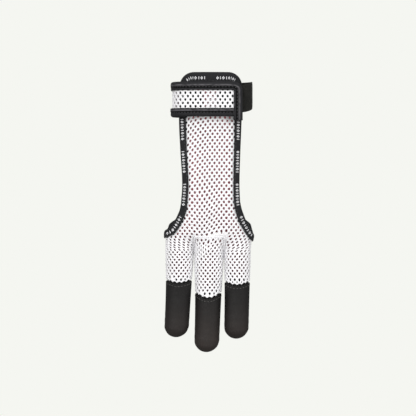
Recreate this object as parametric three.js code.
import * as THREE from 'three';

// Archery glove for three fingers of a right hand, as it stands when worn.
// Millimetres: +Z from the fingers to the forearm, -Y on the palm side, +X on the little finger's side.
// The origin is the middle of the wrist loop.

// Driving dimensions
const clearance = 0.3;
const tapeSlack = 0.47;
const meshWall = 1;
const capWall = 1.4;
const tapeWall = 0.8;
const strapWall = 1;
const tapeWidth = 6.2;

const wristWidth = 57;
const palmDepth = 18;
const backDepth = 17;
const palmLength = 99.3;
const tongueRise = 18.8;
const tongueWidth = 40;
const cornerRadius = 9;

const fingerWidth = 22;
const fingerThickness = 19.4;
const fingerLength = 72.5;
const fingerShift = -1.95;
const rootForward = 1.5;
const curl = 11;
const crotchDrop = 13.7;
const crotchSlant = 3;
const capLength = 44.2;
const capLip = 4;
const insertDrop = 2.7;

const tabWidth = 25.9;
const tabLength = 89;
const tabCorner = 5.6;
const tapeTail = 2.8;
const strapSeam = 128;
const strapOverlap = 7;
const strapSquareness = 3.7;
const bandLength = 102;
const bandWidth = 20.3;
const bandRise = 3.4;
const patchLength = 12;
const patchWidth = 13;
const patchEdge = 18;

// Powers of the curves: how flat the palm's sections are, how late a finger leans over, and how soon the
// back's flare opens
const palmFlatness = 0.85;
const leanPower = 1.5;
const backFlare = 0.55;

// How many facets
const fingerCells = 8;
const capFacets = 16;
const tipRings = 3;
const strapCells = 16;
const patchCells = 6;
const girthSamples = 60;
const loopSamples = 720;

// Fingers from the thumb's side. width, length and cap are shares of fingerWidth, fingerLength and
// capLength, taper is the width left at the tip, lean is how far the tip has gone sideways as a share of
// the width, and dip is how far the mesh reaches down over the front of the cap as a share of its length
const fingers = [
  { name: 'index', width: 0.955, length: 0.87, cap: 0.966, taper: 0.86, lean: -0.124, dip: 0.062 },
  { name: 'middle', width: 1, length: 1, cap: 1, taper: 0.835, lean: -0.086, dip: 0.098 },
  { name: 'ring', width: 0.895, length: 0.844, cap: 0.96, taper: 0.915, lean: -0.05, dip: 0.066 },
];

// How much of its taper a finger has taken up, by its length
const fingerTaper = [
  { at: 0, taken: 0 },
  { at: 0.1, taken: 0.15 },
  { at: 0.35, taken: 0.62 },
  { at: 0.65, taken: 0.9 },
  { at: 0.85, taken: 1 },
];

// How much of bandRise the band has taken up, by its length from the closing tab's seam
const bandClimb = [
  { at: 0, taken: 0 },
  { at: 0.25, taken: 0.7 },
  { at: 0.55, taken: 1 },
  { at: 0.66, taken: 0.86 },
  { at: 0.82, taken: 0.1 },
  { at: 1, taken: 0 },
];

// The fingers stand side by side, the middle one at fingerShift
const [index, middle, ring] = fingers;
for (const finger of fingers) {
  finger.half = finger.width * fingerWidth / 2;
  finger.depth = finger.width * fingerThickness / 2;
}
const rootGap = clearance / 2;
middle.centre = fingerShift;
index.centre = middle.centre - middle.half - index.half - 2 * rootGap;
ring.centre = middle.centre + middle.half + ring.half + 2 * rootGap;
const knuckleLeft = index.centre - index.half;
const knuckleRight = ring.centre + ring.half;
const knuckleHalf = (knuckleRight - knuckleLeft) / 2;
const knuckleCentre = (knuckleRight + knuckleLeft) / 2;

// Sections of the wrist and palm that the sheets lie on. at is the share of palmLength below the wrist, half
// the section's half breadth, centre its middle as a share of knuckleCentre, and palm and back how deep it
// is on either side as shares of palmDepth and backDepth
const sections = [
  { at: -0.2, half: 0.492 * wristWidth, centre: 0.3, palm: 1, back: 1 },
  { at: 0, half: 0.488 * wristWidth, centre: 0.35, palm: 1, back: 1 },
  { at: 0.14, half: 0.5 * wristWidth, centre: 0.35, palm: 1, back: 0.99 },
  { at: 0.38, half: 1.12 * knuckleHalf, centre: 0.5, palm: 0.95, back: 0.93 },
  { at: 0.64, half: 1.2 * knuckleHalf, centre: 0.6, palm: 0.85, back: 0.83 },
  { at: 0.83, half: 1.14 * knuckleHalf, centre: 0.65, palm: 0.76, back: 0.72 },
  { at: 1, half: 1.02 * knuckleHalf, centre: 0.68, palm: 0.67, back: 0.6 },
  { at: 1.15, half: knuckleHalf, centre: 1, palm: 0.6, back: 0.5 },
];

// Edges of the two tongues. left and right are shares of half the tongue's width, openLeft and openRight say
// how far the edge has then gone on to the side of the section, and tape is the tape's width there
const palmEdge = [
  { at: -0.2, left: 1.12, right: 1.08, openLeft: 0, openRight: 0, tape: 1 },
  { at: 0.14, left: 1.155, right: 1.06, openLeft: 0, openRight: 0, tape: 1 },
  { at: 0.38, left: 1.1, right: 1.01, openLeft: 0, openRight: 0, tape: 0.82 },
  { at: 0.64, left: 1.03, right: 0.975, openLeft: 0, openRight: 0, tape: 0.78 },
  { at: 0.75, left: 1.04, right: 0.98, openLeft: 0.03, openRight: 0.02, tape: 0.8 },
  { at: 0.825, left: 1.03, right: 0.975, openLeft: 0.11, openRight: 0.127, tape: 0.84 },
  { at: 0.863, left: 1.03, right: 0.975, openLeft: 0.206, openRight: 0.229, tape: 0.88 },
  { at: 0.9, left: 1.03, right: 0.975, openLeft: 0.333, openRight: 0.354, tape: 0.9 },
  { at: 0.937, left: 1.03, right: 0.975, openLeft: 0.503, openRight: 0.543, tape: 0.92 },
  { at: 0.974, left: 1.03, right: 0.975, openLeft: 0.72, openRight: 0.749, tape: 0.92 },
  { at: 0.982, left: 1.03, right: 0.975, openLeft: 0.88, openRight: 0.81, tape: 0.94 },
  { at: 0.989, left: 1.03, right: 0.975, openLeft: 1, openRight: 0.87, tape: 0.95 },
  { at: 1.003, left: 1.03, right: 0.975, openLeft: 1, openRight: 0.94, tape: 0.95 },
  { at: 1.011, left: 1.03, right: 0.975, openLeft: 1, openRight: 1, tape: 0.95 },
];

// The back's edge goes as the palm's does, and then turns outwards sooner, from backTurn on, a share of
// palmLength
const backTurn = 0.92;
const backEdge = palmEdge.map((row) => {
  const sooner = row.at > backTurn ? backFlare : 1;
  return { ...row, openLeft: row.openLeft ** sooner, openRight: row.openRight ** sooner };
});

// Rows of the sheets' grids, as shares of the tongue's rounded corner, of palmLength, of the drop from the
// insert's seam to the crotch, and of the fingers' mesh below the crotch. From flareStart the edge's own
// rows take over, and the edge goes on edgeReach further down than its last row
const cornerRows = [0, 0.08, 0.3, 0.62, 1];
const palmRows = [0, 0.15, 0.31, 0.49, 0.68];
const valleyRows = [0.22, 0.58, 1];
const meshRows = [0.34, 0.68, 1];
const flareStart = 0.8;
const edgeReach = 0.03;

// Where a tape's faces, the top of a tongue and the tab's corners have their further points, as shares
const tapeFolds = [0.3, 0.65];
const turnShares = [0.2, 0.4, 0.6, 0.8];
const tabCornerRows = [0, 0.12, 0.45, 1];
const tabCornerStops = [0.02, 0.6, 1];

// The lip at a cap's mouth: how far it lies under the mesh and how thick it is
const lipGap = 1.5 * clearance;
const lipWall = 0.8 * capWall;

const paint = {
  mesh: { color: 0xf1f0f2, roughness: 0.85, metalness: 0 },
  tape: { color: 0x1d1d20, roughness: 0.8, metalness: 0 },
  cap: { color: 0x2b2928, roughness: 0.62, metalness: 0 },
  band: { color: 0x1b1b19, roughness: 0.95, metalness: 0 },
};

const clamp = THREE.MathUtils.clamp;
const lerp = THREE.MathUtils.lerp;
const palmSide = -1;
const backSide = 1;
const quarter = Math.PI / 2;
const seamAngle = Math.asin(clearance / 2 / ring.depth);
const hair = 0.001;

// A smooth curve through a table's column that doesn't overshoot its rows
function through(rows, column) {
  const slopes = rows.slice(1).map((row, i) => (row[column] - rows[i][column]) / (row.at - rows[i].at));
  const tangents = rows.map((row, i) => {
    const before = slopes[Math.max(i - 1, 0)];
    const after = slopes[Math.min(i, slopes.length - 1)];
    return before * after <= 0 ? 0 : 2 * before * after / (before + after);
  });
  return (at) => {
    const x = clamp(at, rows[0].at, rows.at(-1).at);
    const i = Math.max(1, rows.findIndex((row) => x <= row.at));
    const span = rows[i].at - rows[i - 1].at;
    const t = (x - rows[i - 1].at) / span;
    const left = 1 - t;
    const start = rows[i - 1][column] * (1 + 2 * t) * left ** 2 + tangents[i - 1] * span * t * left ** 2;
    const end = rows[i][column] * t ** 2 * (3 - 2 * t) - tangents[i] * span * t ** 2 * left;
    return start + end;
  };
}

const scaled = (curve, size) => (at) => size * curve(at);
const sectionHalf = through(sections, 'half');
const sectionCentre = scaled(through(sections, 'centre'), knuckleCentre);
const sectionDepth = {
  [palmSide]: scaled(through(sections, 'palm'), palmDepth),
  [backSide]: scaled(through(sections, 'back'), backDepth),
};
const taperTaken = through(fingerTaper, 'taken');
const bandHeight = scaled(through(bandClimb, 'taken'), bandRise);

// Levels, from the tongue's top to the crotches between the fingers
const knuckleZ = -palmLength;
const sideLeftZ = -palmEdge.find((row) => row.openLeft === 1).at * palmLength;
const crotchLeftZ = knuckleZ - crotchDrop;
const crotchRightZ = crotchLeftZ - crotchSlant;
const insertZ = knuckleZ - insertDrop;

index.rootZ = crotchLeftZ;
middle.rootZ = (crotchLeftZ + crotchRightZ) / 2;
ring.rootZ = crotchRightZ;
for (const finger of fingers) {
  finger.span = finger.length * fingerLength;
  finger.tipZ = finger.rootZ - finger.span;
  finger.mouthZ = finger.tipZ + finger.cap * capLength;
}

// Centre and half sizes of a finger's horizontal section
function fingerSection(finger, z) {
  const down = Math.max(0, finger.rootZ - z);
  const share = Math.min(1, down / finger.span);
  const width = 1 - (1 - finger.taper) * taperTaken(share);
  return {
    x: finger.centre + finger.lean * finger.width * fingerWidth * share ** leanPower,
    y: -rootForward - curl * (down / fingerLength) ** 2,
    half: finger.half * width,
    depth: finger.depth * width,
  };
}

// Where each finger's share of the knuckle section begins and ends, as angles round that section
for (const finger of fingers) {
  finger.from = Math.asin(clamp((finger.centre - finger.half - knuckleCentre) / knuckleHalf, -1, 1));
  finger.to = Math.asin(clamp((finger.centre + finger.half - knuckleCentre) / knuckleHalf, -1, 1));
}

// A point of the glove's outer face. angle runs round a finger from -90 degrees, on the thumb's side, to 90
function onFinger(side, finger, angle, z) {
  const section = fingerSection(finger, z);
  return new THREE.Vector3(
    section.x + section.half * Math.sin(angle),
    section.y + side * section.depth * Math.cos(angle),
    z,
  );
}

function onPalm(side, theta, z) {
  const at = -z / palmLength;
  const depth = sectionDepth[side](at) * Math.cos(theta) ** palmFlatness;
  return new THREE.Vector3(sectionCentre(at) + sectionHalf(at) * Math.sin(theta), side * depth, z);
}

function crotchZ(theta) {
  const across = clamp((theta - index.to) / (ring.from - index.to), 0, 1);
  return lerp(crotchLeftZ, crotchRightZ, across);
}

function onGlove(side, finger, angle, theta, z) {
  const round = clamp(theta, -quarter, quarter);
  const blend = THREE.MathUtils.smoothstep(-z, -sideLeftZ, -crotchZ(round));
  if (blend === 0) return onPalm(side, round, z);
  return onPalm(side, round, z).lerp(onFinger(side, finger, angle, z), blend);
}

function outward(side, finger, angle, theta, z) {
  const turn = 0.01;
  const rise = 0.2;
  const widen = (finger.to - finger.from) / Math.PI;
  const across = onGlove(side, finger, angle + turn, theta + turn * widen, z)
    .sub(onGlove(side, finger, angle - turn, theta - turn * widen, z));
  const up = onGlove(side, finger, angle, theta, z + rise)
    .sub(onGlove(side, finger, angle, theta, z - rise));
  return across.cross(up).multiplyScalar(-side).normalize();
}

// The sheets' edges, as angles round the section at a height
function edges(table, rise) {
  const left = through(table, 'left');
  const right = through(table, 'right');
  const openLeft = through(table, 'openLeft');
  const openRight = through(table, 'openRight');
  const half = tongueWidth / 2;
  const side = (z, tongue, open, sign) => {
    const at = -z / palmLength;
    const corner = Math.max(0, z - (rise - cornerRadius));
    const rounded = cornerRadius - Math.sqrt(Math.max(0, cornerRadius ** 2 - corner ** 2));
    const limit = sectionCentre(at) + sign * sectionHalf(at);
    const x = lerp(sign * (half * tongue(at) - rounded), limit, open(at));
    return Math.asin(clamp((x - sectionCentre(at)) / sectionHalf(at), -1, 1));
  };
  return {
    left: (z) => Math.max(side(z, left, openLeft, -1), seamAngle - quarter),
    right: (z) => Math.min(side(z, right, openRight, 1), quarter - seamAngle),
  };
}

// A closed wall over the kept cells of a grid. Each node holds the wall's outer and inner point
function wall(nodes, kept) {
  const positions = [];
  const triangles = [];
  const numbers = new Map();
  const number = (i, j, face) => {
    const key = `${i} ${j} ${face}`;
    if (!numbers.has(key)) {
      numbers.set(key, positions.length / 3);
      positions.push(...nodes[i][j][face].toArray());
    }
    return numbers.get(key);
  };
  const quad = (a, b, c, d) => triangles.push(a, b, c, a, c, d);
  const has = (i, j) => i >= 0 && j >= 0 && i < nodes.length - 1 && j < nodes[0].length - 1 && kept(i, j);
  const rim = (i0, j0, i1, j1) => quad(
    number(i0, j0, 'outer'), number(i1, j1, 'outer'), number(i1, j1, 'inner'), number(i0, j0, 'inner'),
  );
  for (let i = 0; i < nodes.length - 1; i += 1) {
    for (let j = 0; j < nodes[0].length - 1; j += 1) {
      if (!has(i, j)) continue;
      const corners = [[i, j], [i, j + 1], [i + 1, j + 1], [i + 1, j]];
      quad(...corners.map(([a, b]) => number(a, b, 'outer')));
      quad(...corners.map(([a, b]) => number(a, b, 'inner')).reverse());
      if (!has(i - 1, j)) rim(i, j + 1, i, j);
      if (!has(i + 1, j)) rim(i + 1, j, i + 1, j + 1);
      if (!has(i, j - 1)) rim(i, j, i + 1, j);
      if (!has(i, j + 1)) rim(i + 1, j + 1, i, j + 1);
    }
  }
  return solid(positions, triangles);
}

// A closed bar: one ring of points for each station, in the same order, and a flat face at either end
function bar(rings, profile) {
  const count = profile.length;
  const triangles = [];
  for (let i = 0; i < rings.length - 1; i += 1) {
    for (let j = 0; j < count; j += 1) {
      const next = (j + 1) % count;
      const [a, b, c, d] = [i * count + j, i * count + next, (i + 1) * count + next, (i + 1) * count + j];
      triangles.push(a, b, c, a, c, d);
    }
  }
  const last = (rings.length - 1) * count;
  for (const [a, b, c] of THREE.ShapeUtils.triangulateShape(profile, [])) {
    triangles.push(c, b, a, last + a, last + b, last + c);
  }
  return solid(rings.flat().flatMap((point) => point.toArray()), triangles);
}

// A geometry with its faces turned outwards
function solid(positions, triangles) {
  const corner = (n) => new THREE.Vector3().fromArray(positions, 3 * n);
  let volume = 0;
  for (let i = 0; i < triangles.length; i += 3) {
    const [a, b, c] = triangles.slice(i, i + 3).map(corner);
    volume += a.dot(b.cross(c));
  }
  const geometry = new THREE.BufferGeometry();
  geometry.setAttribute('position', new THREE.Float32BufferAttribute(positions, 3));
  geometry.setIndex(volume > 0 ? triangles : triangles.toReversed());
  geometry.computeVertexNormals();
  return geometry;
}

// The mesh sheets

// Columns of the sheets' grids: fingerCells to each finger, from edge to edge
const columns = fingers.flatMap((finger) => Array.from({ length: fingerCells + 1 }, (_, k) => {
  const angle = lerp(seamAngle - quarter, quarter - seamAngle, k / fingerCells);
  return { finger, angle, theta: lerp(finger.from, finger.to, (angle + quarter) / Math.PI) };
}));
const stripLength = fingerCells + 1;
const isGap = (j) => j % stripLength === fingerCells;
const isMiddle = (j) => j >= fingerCells && j <= 2 * stripLength - 1;

// Rows of a sheet: level gives the height of a row at a column
function sheetRows(table, rise) {
  const corner = cornerRows.map((share) => rise - share * cornerRadius);
  const palm = palmRows.map((at) => -at * palmLength);
  const flare = table.filter((row) => row.at > flareStart).map((row) => -row.at * palmLength);
  const seam = [insertZ + clearance / 2, insertZ - clearance / 2];
  const valley = valleyRows.map((share) => ({ share }));
  const mesh = meshRows.map((share) => ({ share, finger: true }));
  return [...corner, ...palm, ...flare, ...seam, ...valley, ...mesh];
}

function level(row, column) {
  if (typeof row === 'number') return row;
  const crotch = crotchZ(column.theta);
  if (!row.finger) return lerp(insertZ - clearance / 2, crotch, row.share);
  const { mouthZ, cap, dip } = column.finger;
  const mouth = mouthZ - dip * cap * capLength * Math.cos(column.angle) ** 2;
  return lerp(crotch, mouth, row.share);
}

function sheetNodes(side, table, rise) {
  const edge = edges(table, rise);
  const edgeEnd = sideLeftZ - edgeReach * palmLength;
  return sheetRows(table, rise).map((row) => columns.map((column) => {
    const z = level(row, column);
    const share = (column.theta + quarter) / Math.PI;
    const theta = z > edgeEnd ? lerp(edge.left(z), edge.right(z), share) : column.theta;
    const outer = onGlove(side, column.finger, column.angle, theta, z);
    const normal = outward(side, column.finger, column.angle, theta, z);
    return { outer, inner: outer.clone().addScaledVector(normal, -meshWall) };
  }));
}

const insertRow = sheetRows(palmEdge, tongueRise).indexOf(insertZ + clearance / 2);
const crotchRow = insertRow + 1 + valleyRows.length;

const palmNodes = sheetNodes(palmSide, palmEdge, tongueRise);
const backNodes = sheetNodes(backSide, backEdge, tongueRise);

const palmMesh = wall(palmNodes, (i, j) => i < insertRow || !isMiddle(j));
const middleFront = wall(palmNodes, (i, j) => i > insertRow && isMiddle(j) && !isGap(j));
const backMesh = wall(backNodes, (i, j) => i < crotchRow || !isGap(j));

// The binding tapes: a folded section along a sheet's edge. inset is measured from the edge into the sheet
// and lift from its outer face outwards
function foldedProfile(width, sheetWall) {
  const outside = -tapeSlack - tapeWall;
  const far = width + outside;
  const [near, mid] = tapeFolds.map((share) => far * share);
  const over = tapeSlack + tapeWall;
  const under = -sheetWall - tapeSlack;
  return [
    [outside, under - tapeWall], [near, under - tapeWall],
    [mid, under - tapeWall], [far, under - tapeWall],
    [far, under], [mid, under], [near, under], [-tapeSlack, under],
    [-tapeSlack, tapeSlack], [near, tapeSlack], [mid, tapeSlack], [far, tapeSlack],
    [far, over], [mid, over], [near, over], [outside, over],
  ].map(([inset, lift]) => new THREE.Vector2(inset, lift));
}

// stations give the edge's place in a flat pattern and the direction into the sheet, and place puts a point
// of the pattern, at a lift above it, on the glove
function binding(stations, sheetWall, place) {
  const rings = stations.map(({ at, inwards, width }) => foldedProfile(width, sheetWall).map((point) => {
    const flat = at.clone().addScaledVector(inwards, point.x);
    return place(flat, point.y);
  }));
  return bar(rings, foldedProfile(stations[0].width, sheetWall));
}

// Directions square to a path in the flat pattern, on its left-hand side, with the two ends given
function withInwards(path, start, end) {
  return path.map((station, i) => {
    if (i === 0 || i === path.length - 1) return { ...station, inwards: i === 0 ? start : end };
    const before = station.at.clone().sub(path[i - 1].at).normalize();
    const after = path[i + 1].at.clone().sub(station.at).normalize();
    const along = before.add(after).normalize();
    return { ...station, inwards: new THREE.Vector2(along.y, -along.x) };
  });
}

// Girth of a section from its middle, so that a tape keeps its width round the hand
function onSkin(side, theta, z) {
  const finger = fingers.find(({ to }) => theta <= to + hair) ?? ring;
  const share = clamp((theta - finger.from) / (finger.to - finger.from), 0, 1);
  return [side, finger, lerp(-quarter, quarter, share), theta, z];
}

function girth(side, z) {
  const sample = (i) => onGlove(...onSkin(side, lerp(-quarter, quarter, i / girthSamples), z));
  const lengths = [0];
  for (let i = 1; i <= girthSamples; i += 1) {
    lengths.push(lengths[i - 1] + sample(i - 1).distanceTo(sample(i)));
  }
  const middleLength = lengths[girthSamples / 2];
  return lengths.map((length) => length - middleLength);
}

function lengthAt(side, theta, z) {
  const lengths = girth(side, z);
  const n = clamp((theta + quarter) / Math.PI * girthSamples, 0, girthSamples - hair);
  const i = Math.floor(n);
  return lerp(lengths[i], lengths[i + 1], n - i);
}

function angleAt(side, length, z) {
  const lengths = girth(side, z);
  const i = clamp(lengths.findIndex((end) => end >= length), 1, girthSamples);
  const found = lengths.at(-1) < length ? girthSamples : i;
  const share = clamp((length - lengths[found - 1]) / (lengths[found] - lengths[found - 1]), 0, 1);
  return lerp(-quarter, quarter, (found - 1 + share) / girthSamples);
}

function tongueTape(side, table, rise) {
  const edge = edges(table, rise);
  const tapeShare = through(table, 'tape');
  const levels = sheetRows(table, rise).filter((row) => typeof row === 'number');
  const station = (theta, z) => ({
    at: new THREE.Vector2(lengthAt(side, theta, z), z),
    width: tapeWidth * tapeShare(-z / palmLength),
  });
  const sideRows = (open) => levels.filter((z) => z >= -open * palmLength);
  const leftEnd = table.find((row) => row.openLeft === 1).at;
  const up = sideRows(leftEnd).reverse().map((z) => station(edge.left(z), z));
  const across = turnShares.map((share) => station(lerp(edge.left(rise), edge.right(rise), share), rise));
  const down = sideRows(table.at(-1).at).map((z) => station(edge.right(z), z));
  const seam = new THREE.Vector2(0, -1);
  const path = withInwards([...up, ...across, ...down], seam, seam);
  const place = (flat, lift) => {
    const theta = clamp(angleAt(side, flat.x, flat.y), seamAngle - quarter, quarter - seamAngle);
    const where = onSkin(side, theta, flat.y);
    return onGlove(...where).addScaledVector(outward(...where), lift);
  };
  return binding(path, meshWall, place);
}

// The fingertip caps. The lip at the mouth goes under the mesh, and the rest lies level with it
function fingerCap(finger) {
  const lipInset = meshWall + lipGap;
  const innerInset = lipInset + lipWall;
  const mouth = (angle) => finger.mouthZ - finger.dip * finger.cap * capLength * Math.cos(angle) ** 2;
  const tip = fingerSection(finger, finger.tipZ);
  const tipHeight = tip.half;
  const bodyEnd = finger.tipZ + tipHeight;
  const sectionRing = (inset, height, shrink = 1) => Array.from({ length: capFacets }, (_, k) => {
    const turn = 2 * Math.PI * k / capFacets;
    const z = height(turn);
    const section = fingerSection(finger, z);
    return new THREE.Vector3(
      section.x + shrink * (section.half - inset) * Math.sin(turn),
      section.y - shrink * (section.depth - inset) * Math.cos(turn),
      z,
    );
  });
  const body = (share) => (turn) => lerp(mouth(turn) - clearance, bodyEnd, share);
  const tipRows = (inset) => Array.from({ length: tipRings }, (_, i) => {
    const turn = quarter * (i + 1) / (tipRings + 1);
    return sectionRing(inset, () => bodyEnd - (tipHeight - inset) * Math.sin(turn), Math.cos(turn));
  });
  const pole = (inset) => {
    const z = finger.tipZ + inset;
    const section = fingerSection(finger, z);
    return new THREE.Vector3(section.x, section.y, z);
  };
  const outside = [
    sectionRing(lipInset, (turn) => mouth(turn) + capLip),
    sectionRing(lipInset, (turn) => mouth(turn) - clearance),
    sectionRing(0, body(0)),
    sectionRing(0, body(1 / 3)),
    sectionRing(0, body(2 / 3)),
    sectionRing(0, body(1)),
    ...tipRows(0),
  ];
  const inside = [
    sectionRing(innerInset, (turn) => mouth(turn) + capLip),
    sectionRing(innerInset, (turn) => mouth(turn) - clearance),
    sectionRing(capWall, body(1 / 3)),
    sectionRing(capWall, body(2 / 3)),
    sectionRing(capWall, body(1)),
    ...tipRows(capWall),
  ];
  const rings = [...inside.toReversed(), ...outside];
  const positions = [pole(capWall), ...rings.flat(), pole(0)].flatMap((point) => point.toArray());
  const triangles = [];
  const last = positions.length / 3 - 1;
  for (let k = 0; k < capFacets; k += 1) {
    const next = (k + 1) % capFacets;
    triangles.push(0, 1 + next, 1 + k);
    for (let i = 0; i < rings.length - 1; i += 1) {
      const [a, b] = [1 + i * capFacets + k, 1 + i * capFacets + next];
      triangles.push(a, b, b + capFacets, a, b + capFacets, a + capFacets);
    }
    triangles.push(last, last - capFacets + k, last - capFacets + next);
  }
  return solid(positions, triangles);
}

// The wrist's straps. Their loop is a squarish oval whose outer face carries the tab
const tabStack = clearance + 2 * tapeSlack + 2 * tapeWall + meshWall;
const loopCentre = tabStack / 2;
const loopHalf = wristWidth / 2;
const loopDepth = {
  [palmSide]: palmDepth + clearance + strapWall,
  [backSide]: backDepth + clearance + strapWall,
};

class StrapLoop extends THREE.Curve {
  getPoint(t, target = new THREE.Vector3()) {
    const turn = 2 * Math.PI * t;
    const depth = loopDepth[Math.sin(turn) < 0 ? palmSide : backSide];
    const sideways = Math.abs(Math.cos(turn) / loopHalf) ** strapSquareness;
    const forwards = Math.abs(Math.sin(turn) / depth) ** strapSquareness;
    const radius = (sideways + forwards) ** (-1 / strapSquareness);
    return target.set(loopCentre + radius * Math.cos(turn), radius * Math.sin(turn), 0);
  }
}

const loop = new StrapLoop();
loop.arcLengthDivisions = loopSamples;
const loopLength = loop.getLength();
const seamLength = loop.getLengths()[Math.round(strapSeam / 360 * loopSamples)];

// A point of the loop: along is the length from the seam, anticlockwise seen from the forearm
function onLoop(along, lift, z) {
  const length = (((seamLength + along) % loopLength) + loopLength) % loopLength;
  const u = length / loopLength;
  const tangent = loop.getTangentAt(u);
  return loop.getPointAt(u).add(new THREE.Vector3(tangent.y, -tangent.x, 0).multiplyScalar(lift)).setZ(z);
}

function stops(from, to) {
  return Array.from({ length: strapCells + 1 }, (_, k) => lerp(from, to, k / strapCells));
}

// A strap's wall: rows of { z, stops }, with height the curve that its middle line follows
function strap(rows, lift, thickness, height) {
  const nodes = rows.map((row) => row.stops.map((along, k) => {
    const z = row.z + height(k / (row.stops.length - 1));
    return { outer: onLoop(along, lift, z), inner: onLoop(along, lift - thickness, z) };
  }));
  return wall(nodes, () => true);
}

const bandStops = stops(strapOverlap, strapOverlap - bandLength);
const bandRows = [bandWidth / 2, -bandWidth / 2].map((z) => ({ z, stops: bandStops }));
const wristBand = strap(bandRows, 0, strapWall, bandHeight);

const tabLift = clearance + tapeSlack + tapeWall + meshWall;
const panelHalf = tabWidth / 2 - tapeSlack - tapeWall;
const panelEnd = tabLength - tapeSlack - tapeWall;
const tabStops = stops(0, panelEnd - tabCorner);
const tabLevels = [...tabCornerRows.map((share) => panelHalf - share * tabCorner), -panelHalf];
const tabRows = tabLevels.map((z) => {
  const up = Math.max(0, z - (panelHalf - tabCorner));
  const reach = Math.sqrt(tabCorner ** 2 - up ** 2);
  const corner = tabCornerStops.map((share) => tabStops.at(-1) + share * reach);
  return { z, stops: [...tabStops.slice(0, -1), ...corner] };
});
const closingTab = strap(tabRows, tabLift, meshWall, () => 0);

const onTab = (flat, lift) => onLoop(flat.x, tabLift + lift, flat.y);
const tabRun = (z, stops) => stops.map((along) => ({ at: new THREE.Vector2(along, z), width: tapeWidth }));
const tabTurn = turnShares.map((share) => ({
  at: new THREE.Vector2(
    panelEnd - tabCorner * (1 - Math.sin(quarter * share)),
    panelHalf - tabCorner * (1 - Math.cos(quarter * share)),
  ),
  width: tapeWidth,
}));
const tabEndRun = [panelHalf - tabCorner, -panelHalf - tapeSlack - tapeWall - tapeTail].map((z) => ({
  at: new THREE.Vector2(panelEnd, z),
  width: tapeWidth,
}));
const tabTopPath = [...tabRun(panelHalf, tabStops), ...tabTurn, ...tabEndRun];
const tabTopTape = binding(
  withInwards(tabTopPath, new THREE.Vector2(0, -1), new THREE.Vector2(-1, 0)), meshWall, onTab,
);
const hemEnd = tabLength - tapeWidth - clearance;
const hemStops = [...tabStops.filter((along) => along < hemEnd - tapeWidth / 2), hemEnd];
const tabHemPath = tabRun(-panelHalf, hemStops).reverse();
const tabHemTape = binding(
  withInwards(tabHemPath, new THREE.Vector2(0, 1), new THREE.Vector2(0, 1)), meshWall, onTab,
);

// The loop patch lies on the tongue, under the closing tab
const patchNode = (k, z) => {
  const x = -patchEdge + patchLength * k / patchCells;
  const at = -z / palmLength;
  const where = onSkin(palmSide, Math.asin((x - sectionCentre(at)) / sectionHalf(at)), z);
  const [face, normal] = [onGlove(...where), outward(...where)];
  return {
    outer: face.clone().addScaledVector(normal, clearance + strapWall),
    inner: face.clone().addScaledVector(normal, clearance),
  };
};
const patchNodes = [patchWidth / 2, -patchWidth / 2].map(
  (z) => Array.from({ length: patchCells + 1 }, (_, k) => patchNode(k, z)),
);
const loopPatch = wall(patchNodes, () => true);

const group = new THREE.Group();
function add(name, geometry, finish) {
  const mesh = new THREE.Mesh(geometry, new THREE.MeshStandardMaterial(finish));
  mesh.name = name;
  group.add(mesh);
}

add('palm_mesh', palmMesh, paint.mesh);
add('middle_front', middleFront, paint.mesh);
add('back_mesh', backMesh, paint.mesh);
add('palm_tape', tongueTape(palmSide, palmEdge, tongueRise), paint.tape);
add('back_tape', tongueTape(backSide, backEdge, tongueRise), paint.tape);
for (const finger of fingers) add(`${finger.name}_cap`, fingerCap(finger), paint.cap);
add('wrist_band', wristBand, paint.band);
add('loop_patch', loopPatch, paint.band);
add('closing_tab', closingTab, paint.mesh);
add('tab_top_tape', tabTopTape, paint.tape);
add('tab_hem_tape', tabHemTape, paint.tape);

export default group;
